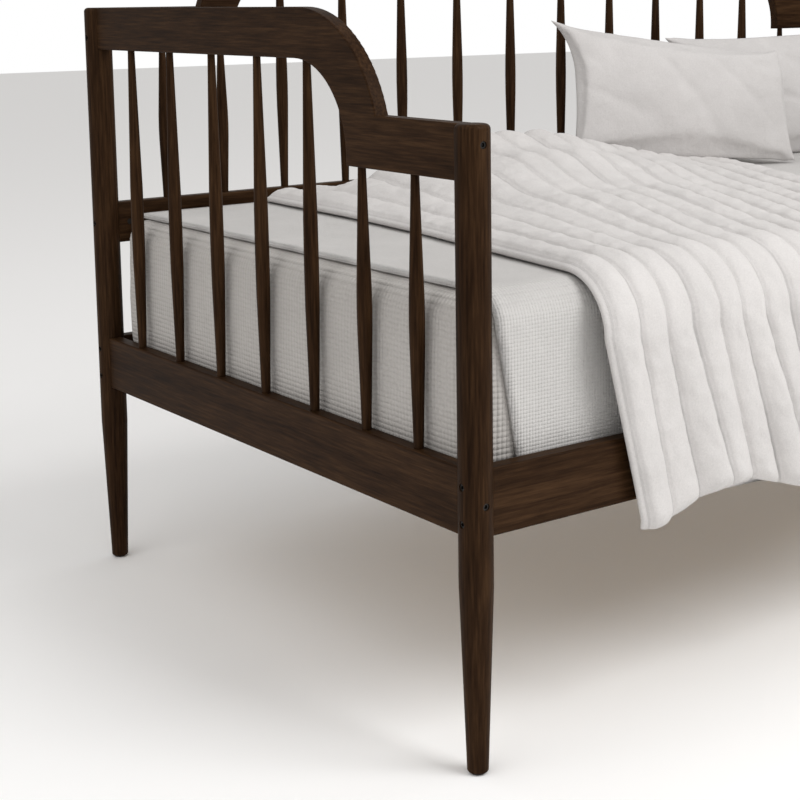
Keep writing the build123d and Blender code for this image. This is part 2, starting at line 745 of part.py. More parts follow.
save_group([joint_bolt(*place[:4]) for place in joint_places()], "joint_bolts")
save_group([barrel_nut(*place) for place in joint_places()], "barrel_nuts")
cleat("front_slat_cleat", -1)
cleat("back_slat_cleat", 1)
screw_faces = [cleat_face(side, s) for side in (-1, 1) for s in cleat_screw_spots()]
save_group([wood_screw(face) for face in screw_faces], "cleat_screws")
slats()
slat_straps()
glides()

mattress()
coverlet()
quilt()
pillow("rear_pillow", pillow_plane(REAR_PILLOW, REAR_REST, 0.0, REAR_LEAN, 0.0))
pillow("front_pillow", pillow_plane(FRONT_PILLOW, FRONT_REST, FRONT_TURN, FRONT_LEAN, FRONT_ROLL))
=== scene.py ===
"""Looks of the spindle daybed: dark stained wood, black hardware, and the soft bedding.

Metres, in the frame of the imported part: +X along the bed to the right, +Y to its back, +Z up.
"""

from math import cos, floor, pi, radians, sin, sqrt

import bmesh
import bpy
from mathutils import Matrix, Vector, noise


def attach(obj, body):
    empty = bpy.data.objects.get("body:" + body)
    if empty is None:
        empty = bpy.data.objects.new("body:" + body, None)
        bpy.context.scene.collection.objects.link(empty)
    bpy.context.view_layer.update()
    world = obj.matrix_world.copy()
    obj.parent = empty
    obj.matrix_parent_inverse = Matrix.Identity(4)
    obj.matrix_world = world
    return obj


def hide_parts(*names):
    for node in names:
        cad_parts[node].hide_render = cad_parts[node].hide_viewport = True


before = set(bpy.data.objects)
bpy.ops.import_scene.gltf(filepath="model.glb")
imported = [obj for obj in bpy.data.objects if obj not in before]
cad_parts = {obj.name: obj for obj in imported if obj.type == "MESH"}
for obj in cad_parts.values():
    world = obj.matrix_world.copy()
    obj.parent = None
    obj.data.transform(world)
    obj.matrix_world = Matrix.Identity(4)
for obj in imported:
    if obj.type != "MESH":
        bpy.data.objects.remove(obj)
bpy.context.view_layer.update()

# Camera, as fitted to the photograph
CAMERA_AT = (-2.1781, -2.0923, 0.9868)
CAMERA_YAW = 53.66
CAMERA_PITCH = -8.47
CAMERA_ROLL = -0.69
CAMERA_LENS = 73.4
CAMERA_SHIFT = (-0.05, -0.2)

# Light
SKY_COLOR = (1.0, 0.985, 0.97)
SKY_STRENGTH = 0.66
KEY_AT = (0.9, -3.4, 3.9)
KEY_SIZE = 2.6
KEY_POWER = 135.0
FILL_AT = (-3.4, -0.6, 3.4)
FILL_SIZE = 3.0
FILL_POWER = 32.0
AIM = (0.0, 0.0, 0.55)
FLOOR_SIZE = 40.0
FLOOR_COLOR = (0.97, 0.968, 0.965)

# The bed under the covers
MATTRESS_HALF_L = 0.958
MATTRESS_FRONT = -0.5015
MATTRESS_BACK = 0.507
MATTRESS_LOW = 0.3574
MATTRESS_TOP = 0.6114
MATTRESS_CORNER = 0.045
MATTRESS_LEAST_CORNER = 0.012
MATTRESS_EDGE = 0.04
MATTRESS_FOOT_EDGE = 0.02
MATTRESS_BULGE = 0.0022
MATTRESS_SOFTNESS = ((0.0016, 9.0), (0.0008, 31.0))  # depth and scale of its dents
MATTRESS_SIDE = 0.03  # rings with a smaller inset belong to its sides
TOP_INSETS = (0.07, 0.12, 0.2, 0.3, 0.4, 0.48)

COVERLET_HALF_L = 0.925
COVERLET_BACK = 0.492
COVERLET_LOW = 0.373
COVERLET_SLANT = 0.037
COVERLET_T = 0.007
COVERLET_TOP = 0.6205
COVERLET_STEP = 0.014
COVERLET_COLUMNS = 128
COVERLET_SOFTNESS = ((0.0006, 0.3, 7.0), (0.0004, 2.0, 23.0))  # depth, seed and scale of its dents
COVERLET_WAVER = 0.002  # how far its side hems stray
TURN_Y = MATTRESS_FRONT + MATTRESS_EDGE
TURN_Z = MATTRESS_TOP - MATTRESS_EDGE

# The quilt. Rows from the back to the turn: Y, left hem, right hem, and how high it is heaped.
QUILT_BASE = 0.6217
QUILT_FRONT_X = (-0.768, -0.045)
QUILT_ROWS = (
    (0.478, -0.680, 0.296, 0.0),
    (0.400, -0.684, 0.354, 0.05),
    (0.330, -0.688, 0.374, 1.0),
    (0.180, -0.692, 0.310, 0.72),
    (-0.060, -0.712, 0.188, 0.25),
    (TURN_Y, *QUILT_FRONT_X, 0.0),
)
QUILT_TURN_R = 0.0785
QUILT_LOW = 0.268
QUILT_HEM_X = (-0.706, 0.095)
CHANNELS = 15
CHANNEL_STEPS = 12
QUILT_LIFT = 0.004
QUILT_SEAM = 0.0077  # how high its seams stand
QUILT_UNDER = 0.011  # how far its underside lies below its face
QUILT_PUFF = 0.013
PUFF_SPREAD = (0.85, 0.35)  # its middle share, and how much it varies
SEAM_WANDER = 0.16  # in shares of a channel
CRUMPLES = ((0.0035, 0.0, 30.0), (0.0022, 5.0, 70.0))  # depth, seed and scale
PUCKER = 0.0022
FALL_FOLD = 0.010
FALL_FOLDS = 5.3
END_RUN = 0.02  # over which it thins to its end hems
END_LEAST = 0.12
SIDE_ROLL = 0.008
SIDE_STEPS = 6
UNDER_STEP = 4
AWAY = 0.01  # stands for any distance from a seam that is too far to matter
HEM_WAVE = 0.006
HEM_WAVES = 2.6
HEM_RAISE = 0.012
HEM_TUCK = 0.024
TUCK_SPAN = (0.0, 0.2, 0.4)
MOUND_WAVER = 0.10
QUILT_MOUND = 0.093
MOUND_SPAN = (-0.02, 0.39, 0.98)
QUILT_STEP = 0.008

# Pillows
PILLOW_L = 0.59
PILLOW_H = 0.27
PILLOW_T = 0.088
PILLOW_DRAWN = 0.012
PILLOW_GRID = 0.0085
PILLOW_DOME = (2.8, 2.2, 0.75)  # how flat it is along its length and height, and how round its rims
PILLOW_FRAMES = 14
PILLOW_PRESSURE = 2.5
PILLOW_MOVE = 0.014
BED_LEVEL = 0.6209
REAR_PILLOW = (0.637, 0.461)
REAR_REST = 0.0015
REAR_LEAN = 8.0
FRONT_PILLOW = (0.288, 0.396)
FRONT_REST = 0.0145
FRONT_TURN = 12.0
FRONT_LEAN = 12.0
FRONT_ROLL = 4.0
# Ear at the upper left, how far the right end leans in at the top and out at the bottom, and sag
REAR_ENDS = (0.035, 0.03, 0.0, -0.006)
FRONT_ENDS = (0.03, 0.045, 0.0, 0.036)
# Where the lower edge rests and the upper one is held, from the pillow's middle
REAR_EDGES = (-0.1375, 0.135)
FRONT_EDGES = (-0.15, None)
PILLOW_BIN = 0.012
END_DRAWN = 0.026
EAR_RISE = 0.008
GATHER = (0.0042, 40.0)  # depth and scale of the wrinkles by the seams
SLUMP = (0.0055, 9.0)
CREASE = (0.006, 0.16)  # depth, and share of the noise that it takes up

# Cloth, in metres
THREAD_DEPTH = 0.00012
SLUB_DEPTH = 0.0003
STITCH = 0.0045
STITCH_SHARE = 0.68
STITCH_HALF_W = 0.0009
STITCH_DEPTH = 0.0006
# Half width of the band along the seams where painted shade darkens the colour
SHADED_GROOVE_HALF_W = 0.0016

GRAIN_STRETCH = 0.05
WOOD_DARK = (0.012, 0.0052, 0.0021, 1)
WOOD_MID = (0.029, 0.0138, 0.006, 1)
WOOD_LIGHT = (0.058, 0.0295, 0.0132, 1)
LINEN = (0.65, 0.628, 0.615)


def link(obj):
    """Puts an object into the scene."""
    bpy.context.scene.collection.objects.link(obj)
    return obj


def smooth(t):
    """Eases a share from 0 to 1."""
    t = min(1.0, max(0.0, t))
    return t * t * (3 - 2 * t)


def wobble(x, y, z=0.0, scale=1.0):
    """Smooth noise between about -1 and 1 at a point, in metres times a scale."""
    return noise.noise(Vector((x * scale, y * scale, z * scale)))


class Shader:
    """A small helper that builds one node material."""

    def __init__(self, name):
        self.material = bpy.data.materials.new(name)
        self.material.use_nodes = True
        self.tree = self.material.node_tree
        self.surface = self.tree.nodes["Principled BSDF"]

    def add(self, kind, inputs=None, **settings):
        """Adds a node. inputs are socket names or numbers with a value or an output."""
        node = self.tree.nodes.new(kind)
        for key, value in settings.items():
            setattr(node, key, value)
        for key, value in (inputs or {}).items():
            self.join(node.inputs[key], value)
        return node

    def join(self, socket, value):
        """Sets a socket to a value, or links an output to it."""
        if isinstance(value, bpy.types.NodeSocket):
            self.tree.links.new(value, socket)
        else:
            socket.default_value = value

    def math(self, operation, a, b=0.0):
        """The result of one sum."""
        return self.add("ShaderNodeMath", {0: a, 1: b}, operation=operation).outputs[0]

    def mix(self, share, a, b):
        """A colour between two."""
        node = self.add("ShaderNodeMix", {0: share}, data_type="RGBA")
        self.join(node.inputs[6], a)
        self.join(node.inputs[7], b)
        return node.outputs[2]

    def ramp(self, share, stops):
        """A colour from a row of (place, colour) stops."""
        node = self.add("ShaderNodeValToRGB", {0: share})
        elements = node.color_ramp.elements
        while len(elements) < len(stops):
            elements.new(0.5)
        for element, (place, color) in zip(elements, stops):
            element.position = place
            element.color = color
        return node.outputs[0]

    def noise(self, vector, scale, detail=2.0, roughness=0.5):
        """Noise of that scale, in features per metre."""
        values = {"Vector": vector, "Scale": scale, "Detail": detail, "Roughness": roughness}
        return self.add("ShaderNodeTexNoise", values).outputs[0]

    def bump(self, height, distance, strength=1.0, under=None):
        """Relief of that depth in metres, on top of other relief if there is some."""
        values = {"Height": height, "Distance": distance, "Strength": strength}
        if under is not None:
            values["Normal"] = under
        return self.add("ShaderNodeBump", values).outputs[0]


def wood(name, axis, stops, roughness, specular):
    """Stained wood with its grain along an axis: fine pores, broad figure and a satin finish."""
    s = Shader(name)
    here = s.add("ShaderNodeTexCoord").outputs["Object"]
    own = s.add("ShaderNodeObjectInfo").outputs["Random"]
    shift = s.add("ShaderNodeCombineXYZ", {0: own, 1: own, 2: own}).outputs[0]
    apart = {0: shift, 1: (7.0, 5.0, 9.0)}
    spread = s.add("ShaderNodeVectorMath", apart, operation="MULTIPLY").outputs[0]
    placed = s.add("ShaderNodeVectorMath", {0: here, 1: spread}, operation="ADD").outputs[0]
    long = [1.0, 1.0, 1.0]
    long["XYZ".index(axis)] = GRAIN_STRETCH
    drawn = s.add("ShaderNodeMapping", {"Vector": placed, "Scale": long}).outputs[0]
    figure = s.noise(drawn, 26.0, 4.0, 0.55)
    fine = s.noise(drawn, 260.0, 5.0, 0.65)
    pores = s.noise(drawn, 900.0, 2.0, 0.5)
    tone = s.math("ADD", s.math("MULTIPLY", figure, 0.4), s.math("MULTIPLY", fine, 0.6))
    color = s.ramp(tone, stops)
    pits = s.math("SMOOTH_MIN", pores, 0.5)
    s.join(s.surface.inputs["Base Color"], color)
    rough = s.math("ADD", s.math("MULTIPLY", fine, 0.16), roughness)
    s.join(s.surface.inputs["Roughness"], rough)
    s.surface.inputs["Specular IOR Level"].default_value = specular
    grain = s.bump(fine, 0.00025, 0.5)
    s.join(s.surface.inputs["Normal"], s.bump(pits, 0.0002, 0.5, grain))
    return s.material


def plain(name, color, roughness, metallic=0.0):
    """An even finish with slight mottling in its sheen."""
    s = Shader(name)
    here = s.add("ShaderNodeTexCoord").outputs["Object"]
    s.surface.inputs["Base Color"].default_value = (*color, 1)
    s.surface.inputs["Metallic"].default_value = metallic
    patches = s.noise(here, 220.0, 3.0)
    rough = s.math("ADD", s.math("MULTIPLY", patches, 0.2), roughness)
    s.join(s.surface.inputs["Roughness"], rough)
    s.join(s.surface.inputs["Normal"], s.bump(s.noise(here, 900.0), 0.0001, 0.4))
    return s.material


def ripples(s, here, pitch):
    """Crossed ribs along all three axes, each a rounded wave of that pitch."""
    parts = s.add("ShaderNodeSeparateXYZ", {0: here})
    total = None
    for i in range(3):
        wave = s.math("SINE", s.math("MULTIPLY", parts.outputs[i], 2 * pi / pitch))
        ridge = s.math("ABSOLUTE", wave)
        total = ridge if total is None else s.math("ADD", total, ridge)
    return total


def fabric(name, color, weave, waffle=None, waffle_depth=0.0, creases=0.0, stitches=False):
    """Cotton or linen: threads at their true pitch, soft mottling, and fine creases. With stitches,
    painted shade darkens a band along the seam grooves.
    """
    s = Shader(name)
    here = s.add("ShaderNodeTexCoord").outputs["Object"]
    soft = s.noise(here, 9.0, 3.0, 0.6)
    slubs = s.noise(here, 420.0, 2.0, 0.6)
    shade = s.math("ADD", s.math("MULTIPLY", soft, 0.5), s.math("MULTIPLY", slubs, 0.5))
    low = (*[c * 0.92 for c in color], 1)
    high = (*[min(1.0, c * 1.05) for c in color], 1)
    tint = s.ramp(shade, [(0.35, low), (0.65, high)])
    height = s.bump(ripples(s, here, weave), THREAD_DEPTH, 0.45)
    height = s.bump(slubs, SLUB_DEPTH, 0.5, height)
    if waffle:
        cells = ripples(s, here, 2 * waffle)
        height = s.bump(cells, waffle_depth, 0.8, height)
        hollow = s.math("MULTIPLY", cells, 0.09)
        tint = s.mix(hollow, tint, (*color, 1))
    if creases:
        folds = s.noise(here, 22.0, 6.0, 0.62)
        height = s.bump(folds, creases, 0.55, height)
    if stitches:
        along = s.add("ShaderNodeAttribute", attribute_name="along").outputs["Fac"]
        across = s.add("ShaderNodeAttribute", attribute_name="across").outputs["Fac"]
        near = s.math("LESS_THAN", across, STITCH_HALF_W)
        beat = s.math("FRACT", s.math("MULTIPLY", along, 1 / STITCH))
        dash = s.math("MULTIPLY", near, s.math("LESS_THAN", beat, STITCH_SHARE))
        height = s.bump(dash, STITCH_DEPTH, 0.8, height)
        # Painted shade: the colour is darkened to 0.6 of the base within a narrow band along each seam
        # groove
        painted_groove_shade = s.math("MULTIPLY", s.math("LESS_THAN", across, SHADED_GROOVE_HALF_W), 0.22)
        tint = s.mix(painted_groove_shade, tint, (*[c * 0.6 for c in color], 1))
    s.join(s.surface.inputs["Base Color"], tint)
    s.surface.inputs["Roughness"].default_value = 0.92
    s.surface.inputs["Specular IOR Level"].default_value = 0.18
    s.surface.inputs["Sheen Weight"].default_value = 0.12
    s.surface.inputs["Sheen Roughness"].default_value = 0.5
    s.join(s.surface.inputs["Normal"], height)
    return s.material


DARK_STOPS = [(0.36, WOOD_DARK), (0.5, WOOD_MID), (0.66, WOOD_LIGHT)]
PALE_STOPS = [
    (0.3, (0.42, 0.29, 0.17, 1)),
    (0.5, (0.56, 0.42, 0.27, 1)),
    (0.7, (0.66, 0.52, 0.36, 1)),
]
dark_wood = {axis: wood(f"dark_wood_{axis}", axis, DARK_STOPS, 0.36, 0.035) for axis in "XYZ"}
pale_wood = {axis: wood(f"slat_wood_{axis}", axis, PALE_STOPS, 0.55, 0.3) for axis in "XY"}
steel = plain("bolt_steel", (0.035, 0.032, 0.03), 0.32, 0.85)
nylon = plain("glide_nylon", (0.03, 0.028, 0.026), 0.5)
webbing = fabric("strap_webbing", (0.62, 0.6, 0.55), 0.0012)
mattress_cotton = fabric("mattress_cotton", (0.5, 0.475, 0.45), 0.0008, 0.0075, 0.0016)
coverlet_cotton = fabric("coverlet_cotton", (0.59, 0.575, 0.56), 0.0008, 0.005, 0.0007, 0.004)
quilt_cotton = fabric("quilt_cotton", LINEN, 0.0007, creases=0.007, stitches=True)
pillow_linen = fabric("pillow_linen", (0.585, 0.565, 0.555), 0.0009, creases=0.006, stitches=True)


def finish_of(name):
    """The material of a CAD node, with the grain along the piece."""
    if name in ("front_slat_cleat", "back_slat_cleat"):
        return pale_wood["X"]
    if name == "bed_slats":
        return pale_wood["Y"]
    if name in ("joint_bolts", "barrel_nuts", "cleat_screws"):
        return steel
    if name == "foot_glides":
        return nylon
    if name == "slat_straps":
        return webbing
    if "post" in name or "spindle" in name:
        return dark_wood["Z"]
    if "arm_board" in name or "side_rail" in name:
        return dark_wood["Y"]
    return dark_wood["X"]


for name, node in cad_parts.items():
    for entry in node.material_slots:
        entry.material = finish_of(name)


def make_mesh(name, points, faces, material):
    """A shaded mesh object from points and faces."""
    mesh = bpy.data.meshes.new(name)
    mesh.from_pydata([tuple(p) for p in points], [], faces)
    mesh.materials.append(material)
    mesh.polygons.foreach_set("use_smooth", [True] * len(mesh.polygons))
    mesh.update()
    return link(bpy.data.objects.new(name, mesh))


def face_out(obj):
    """Turns a closed mesh's faces outwards."""
    bm = bmesh.new()
    bm.from_mesh(obj.data)
    bmesh.ops.recalc_face_normals(bm, faces=bm.faces)
    bm.to_mesh(obj.data)
    bm.free()


def set_numbers(obj, name, values):
    """Stores one number per point, for the material."""
    attribute = obj.data.attributes.new(name, "FLOAT", "POINT")
    attribute.data.foreach_set("value", values)


def rounded_ring(half_x, y0, y1, corner, z, steps):
    """Points round a rectangle with rounded corners at a height, with rows along its sides."""
    sides = []
    centres = [(half_x - corner, y0 + corner, -90), (half_x - corner, y1 - corner, 0)]
    centres += [(-half_x + corner, y1 - corner, 90), (-half_x + corner, y0 + corner, 180)]
    for index, (cx, cy, start) in enumerate(centres):
        for i in range(steps + 1):
            a = radians(start + 90 * i / steps)
            sides.append((cx + corner * cos(a), cy + corner * sin(a)))
        nx, ny, begin = centres[(index + 1) % 4]
        a = radians(begin)
        far = (nx + corner * cos(a), ny + corner * sin(a))
        near = sides[-1]
        count = 60 if index % 2 else 32
        for i in range(1, count):
            t = i / count
            sides.append((near[0] + (far[0] - near[0]) * t, near[1] + (far[1] - near[1]) * t))
    return [(x, y, z) for x, y in sides]


def ring_faces(rows, count):
    """Faces over rows of closed rings, with a cap at each end."""
    faces = []
    for row in range(rows - 1):
        for i in range(count):
            j = (i + 1) % count
            a = row * count
            faces.append((a + i, a + j, a + count + j, a + count + i))
    faces.append(tuple(reversed(range(count))))
    faces.append(tuple(range((rows - 1) * count, rows * count)))
    return faces


def mattress_profile():
    """The mattress from its foot to its top, as (inset, height)."""
    profile = []
    for i in range(7):
        a = radians(90 * i / 6)
        inset = MATTRESS_FOOT_EDGE * (1 - sin(a))
        profile.append((inset, MATTRESS_LOW + MATTRESS_FOOT_EDGE * (1 - cos(a))))
    low = MATTRESS_LOW + MATTRESS_FOOT_EDGE
    high = MATTRESS_TOP - MATTRESS_EDGE
    for i in range(1, 16):
        t = i / 16
        profile.append((-MATTRESS_BULGE * sin(pi * t), low + (high - low) * t))
    for i in range(9):
        a = radians(90 * i / 8)
        profile.append((MATTRESS_EDGE * (1 - cos(a)), high + MATTRESS_EDGE * sin(a)))
    return profile + [(inset, MATTRESS_TOP) for inset in TOP_INSETS]


def mattress_mesh():
    """The mattress in its fitted cover, slightly soft in its sides."""
    profile = mattress_profile()
    points = []
    for inset, z in profile:
        corner = max(MATTRESS_CORNER - inset, MATTRESS_LEAST_CORNER)
        front, back = MATTRESS_FRONT + inset, MATTRESS_BACK - inset
        ring = rounded_ring(MATTRESS_HALF_L - inset, front, back, corner, z, 8)
        for x, y, level in ring:
            soft = sum(depth * wobble(x, y, level, scale) for depth, scale in MATTRESS_SOFTNESS)
            if inset < MATTRESS_SIDE:
                points.append((x * (1 - soft), y * (1 - soft), level))
            else:
                points.append((x, y, level - abs(soft)))
    faces = ring_faces(len(profile), len(points) // len(profile))
    return make_mesh("mattress_cover", points, faces, mattress_cotton)


def path_rows(legs, step):
    """Points along straight legs and arcs in the YZ plane, as (y, z, normal y, normal z, run)."""
    rows = []
    run = 0.0
    for leg in legs:
        if leg[0] == "line":
            (y0, z0), (y1, z1) = leg[1], leg[2]
            length = sqrt((y1 - y0) ** 2 + (z1 - z0) ** 2)
            count = max(2, round(length / step))
            ny, nz = (z1 - z0) / length, -(y1 - y0) / length
            for i in range(count):
                t = i / count
                rows.append((y0 + (y1 - y0) * t, z0 + (z1 - z0) * t, ny, nz, run + length * t))
        else:
            (cy, cz), radius = leg[1], leg[2]
            length = radius * pi / 2
            count = max(6, round(length / step))
            for i in range(count):
                a = pi / 2 * i / count
                y, z = cy - radius * sin(a), cz + radius * cos(a)
                rows.append((y, z, -sin(a), cos(a), run + length * i / count))
        run += length
    y, z = legs[-1][2]
    rows.append((y, z, rows[-1][2], rows[-1][3], run))
    return rows


def coverlet_mesh():
    """The lower cover: smooth over the mattress, turned down over its front edge and tucked in."""
    radius = COVERLET_TOP - TURN_Z
    legs = [
        ("line", (COVERLET_BACK, COVERLET_TOP), (TURN_Y, COVERLET_TOP)),
        ("arc", (TURN_Y, TURN_Z), radius),
        ("line", (TURN_Y - radius, TURN_Z), (TURN_Y - radius, COVERLET_LOW)),
    ]
    rows = path_rows(legs, COVERLET_STEP)
    across = COVERLET_COLUMNS
    sunk = COVERLET_SOFTNESS[0][0]
    points = []
    for y, z, ny, nz, run in rows:
        drawn = COVERLET_SLANT * min(1.0, max(0.0, (TURN_Z - z) / (TURN_Z - COVERLET_LOW)))
        for i in range(across + 1):
            x = (2 * i / across - 1) * (COVERLET_HALF_L - drawn)
            dents = sum(depth * wobble(x, run, seed, scale) for depth, seed, scale in COVERLET_SOFTNESS)
            lift = dents - sunk
            side = COVERLET_WAVER * wobble(0.0, run, x, 6.0) * (abs(x) / COVERLET_HALF_L) ** 8
            points.append((x + side, y + ny * lift, z + nz * lift))
    width = across + 1
    faces = []
    for row in range(len(rows) - 1):
        for i in range(across):
            a = row * width + i
            faces.append((a, a + width, a + width + 1, a + 1))
    obj = make_mesh("coverlet_cover", points, faces, coverlet_cotton)
    solid = obj.modifiers.new("thickness", "SOLIDIFY")
    solid.thickness = COVERLET_T
    solid.offset = -1
    return obj


def apply_modifiers(obj):
    """Makes an object's modifiers part of its mesh."""
    graph = bpy.context.evaluated_depsgraph_get()
    made = bpy.data.meshes.new_from_object(obj.evaluated_get(graph), depsgraph=graph)
    obj.modifiers.clear()
    obj.data = made


def bump_share(value, low, peak, high):
    """A smooth hump from 0 at low up to 1 at peak and back to 0 at high."""
    if value <= low or value >= high:
        return 0.0
    t = (value - low) / (peak - low) if value < peak else (high - value) / (high - peak)
    return smooth(t)


def quilt_row(y):
    """The hems and the heap of the quilt's flat part at a Y."""
    for (y0, *first), (y1, *second) in zip(QUILT_ROWS, QUILT_ROWS[1:]):
        if y1 <= y <= y0:
            t = (y0 - y) / (y0 - y1)
            left = first[0] + (second[0] - first[0]) * t
            right = first[1] + (second[1] - first[1]) * t
            heap = first[2] + (second[2] - first[2]) * smooth(t)
            return left, right, heap
    return QUILT_ROWS[-1][1:] if y < TURN_Y else QUILT_ROWS[0][1:]


def hem_level(share):
    """How far the bottom hem wanders from its level, in metres, across the quilt."""
    wave = HEM_WAVE * sin(2 * pi * (share * HEM_WAVES + 0.1))
    return wave - HEM_RAISE - HEM_TUCK * bump_share(share, *TUCK_SPAN)


def quilt_height(u, x, run, heap, drop, ends):
    """How far the quilt's face stands off its base, u across it and run along it."""
    place = u * CHANNELS
    cell = int(place)
    inside = place - cell if u < 1 else 1.0
    arch = sqrt(max(0.0, 1 - (2 * inside - 1) ** 2))
    vary = PUFF_SPREAD[0] + PUFF_SPREAD[1] * wobble(cell * 1.7, run, 4.0, 3.0)
    crumple = sum(depth * wobble(x, run, seed, scale) for depth, seed, scale in CRUMPLES)
    gather = wobble(run, cell * 5.3, 1.0, 55.0)
    pucker = PUCKER * gather * (1 - arch) if 0 < place < CHANNELS else 0.0
    fold = FALL_FOLD * drop * sin(2 * pi * u * FALL_FOLDS + 1.1)
    mound = QUILT_MOUND * heap * bump_share(u, *MOUND_SPAN)
    mound *= 1 + MOUND_WAVER * wobble(x, run, 8.0, 7.0)
    body = (QUILT_SEAM + (QUILT_PUFF * vary + crumple) * arch + pucker) * sqrt(ends)
    return QUILT_LIFT + body + mound + max(-QUILT_LIFT, fold)


def side_roll(top, normal, side):
    """Points round a side hem, from the face down to the underside on the right, and back up on the
    left."""
    points = []
    for k in range(1, SIDE_STEPS):
        a = pi * k / SIDE_STEPS
        if side == -1:
            a = pi - a
        down = QUILT_UNDER * (1 - cos(a)) / 2
        out = side * SIDE_ROLL * sin(a)
        points.append((top[0] + out, top[1] - normal[0] * down, top[2] - normal[1] * down))
    return points


def quilt_ring(row, left, right, heap, drop, ends):
    """One cross-section of the quilt as a closed ring, with each point's distance from a seam."""
    y, z, ny, nz, run = row
    columns = CHANNELS * CHANNEL_STEPS
    ring, seam = [], []
    for i in range(columns + 1):
        u = i / columns
        wander = SEAM_WANDER * wobble(int(u * CHANNELS) * 3.1, run, 0.0, 2.4)
        x = left + (right - left) * (u + wander / CHANNELS * sin(pi * u))
        height = quilt_height(u, x, run, heap, drop, ends)
        ring.append((x, y + ny * height, z - hem_level(u) * drop + nz * height))
        inside = i % CHANNEL_STEPS / CHANNEL_STEPS
        seam.append(min(inside, 1 - inside) * (right - left) / CHANNELS)
    # The second point of each side roll lies inside the painted groove shade band, so the side hems get
    # a painted shade line
    hem = [SHADED_GROOVE_HALF_W * 0.75 if k == 2 else AWAY for k in range(1, SIDE_STEPS)]
    face = list(ring)
    under = [(x, y - ny * QUILT_UNDER, z - nz * QUILT_UNDER) for x, y, z in face[::-UNDER_STEP]]
    ring += side_roll(face[-1], (ny, nz), 1) + under + side_roll(face[0], (ny, nz), -1)
    seam += hem + [AWAY] * len(under) + hem
    return ring, seam


def quilt_mesh():
    """The quilt: puffed channels from back to front, heaped at the back, arched over the front edge
    and hanging clear of the rail in soft folds."""
    centre_z = QUILT_BASE - QUILT_TURN_R
    fall_y = TURN_Y - QUILT_TURN_R
    legs = [
        ("line", (QUILT_ROWS[0][0], QUILT_BASE), (TURN_Y, QUILT_BASE)),
        ("arc", (TURN_Y, centre_z), QUILT_TURN_R),
        ("line", (fall_y, centre_z), (fall_y, QUILT_LOW)),
    ]
    rows = path_rows(legs, QUILT_STEP)
    total = rows[-1][4]
    turn_run = QUILT_ROWS[0][0] - TURN_Y
    fall_run = turn_run + QUILT_TURN_R * pi / 2
    points, along, seams = [], [], []
    for row in rows:
        run = row[4]
        drop = max(0.0, (run - fall_run) / (total - fall_run))
        if run <= turn_run:
            left, right, heap = quilt_row(row[0])
        else:
            left, right = [a + (b - a) * drop for a, b in zip(QUILT_FRONT_X, QUILT_HEM_X)]
            heap = 0.0
        ends = min(1.0, run / END_RUN, (total - run) / END_RUN + END_LEAST)
        ring, seam = quilt_ring(row, left, right, heap, drop, ends)
        points += ring
        along += [run] * len(ring)
        seams += seam
    faces = ring_faces(len(rows), len(points) // len(rows))
    obj = make_mesh("quilt_cover", points, faces, quilt_cotton)
    set_numbers(obj, "along", along)
    set_numbers(obj, "across", seams)
    face_out(obj)
    return obj


def pillow_seed(name):
    """A plump pillow case before its simulation: two domed faces that share their seam. It lies in
    the XY plane."""
    flat_u, flat_v, round_rim = PILLOW_DOME
    width, height = PILLOW_L, PILLOW_H
    nx, ny = round(width / PILLOW_GRID), round(height / PILLOW_GRID)
    points = []
    index = {}
    for side in (1, -1):
        for i in range(nx + 1):
            for j in range(ny + 1):
                rim = i in (0, nx) or j in (0, ny)
                if rim and side == -1:
                    index[side, i, j] = index[1, i, j]
                    continue
                u, v = 2 * i / nx - 1, 2 * j / ny - 1
                dome = (1 - abs(u) ** flat_u) * (1 - abs(v) ** flat_v)
                puff = PILLOW_T / 2 * dome**round_rim
                soft = 0.0015 * wobble(u * 3, v * 2, side * 2.0, 2.0)
                x = u * (width / 2 - PILLOW_DRAWN * (1 - v * v))
                y = v * (height / 2 - PILLOW_DRAWN * (1 - u * u))
                index[side, i, j] = len(points)
                points.append((x, y, side * puff + soft))
    faces = []
    for side in (1, -1):
        for i in range(nx):
            for j in range(ny):
                corners = ((i, j), (i + 1, j), (i + 1, j + 1), (i, j + 1))
                quad = [index[side, a, b] for a, b in corners]
                faces.append(quad if side == 1 else quad[::-1])
    spots = [(i, j) for i in range(nx + 1) for j in range(ny + 1)]
    # The shared seam points get distance 0, so the painted groove shade darkens the pillow's seam
    rims = [0.0 if index[1, i, j] == index[-1, i, j] else 2 * AWAY for i, j in spots]
    runs = [(i + j) * PILLOW_GRID for i, j in spots]
    rims += [2 * AWAY] * (len(points) - len(rims))
    runs += [0.0] * (len(points) - len(runs))
    obj = make_mesh(name, points, faces, pillow_linen)
    set_numbers(obj, "along", runs)
    set_numbers(obj, "across", rims)
    return obj


def inflate(obj):
    """Blows the pillow up by cloth simulation and keeps the result, within a small move."""
    before = [v.co.copy() for v in obj.data.vertices]
    cloth = obj.modifiers.new("cloth", "CLOTH")
    settings = cloth.settings
    settings.quality = 6
    settings.mass = 0.25
    settings.tension_stiffness = 18
    settings.compression_stiffness = 12
    settings.shear_stiffness = 6
    settings.bending_stiffness = 0.35
    settings.use_pressure = True
    settings.uniform_pressure_force = PILLOW_PRESSURE
    settings.effector_weights.gravity = 0
    cloth.collision_settings.use_collision = False
    cloth.collision_settings.use_self_collision = False
    cloth.point_cache.frame_start = 1
    cloth.point_cache.frame_end = PILLOW_FRAMES
    for step in range(1, PILLOW_FRAMES + 1):
        bpy.context.scene.frame_set(step)
    apply_modifiers(obj)
    bpy.context.scene.frame_set(1)
    for vertex, start in zip(obj.data.vertices, before):
        move = vertex.co - start
        if move.length > PILLOW_MOVE:
            move *= PILLOW_MOVE / move.length
        vertex.co = start + move


def true_thickness(obj):
    """Brings the pillow to its real thickness."""
    most = max(abs(vertex.co.z) for vertex in obj.data.vertices)
    for vertex in obj.data.vertices:
        vertex.co.z *= PILLOW_T / 2 / most


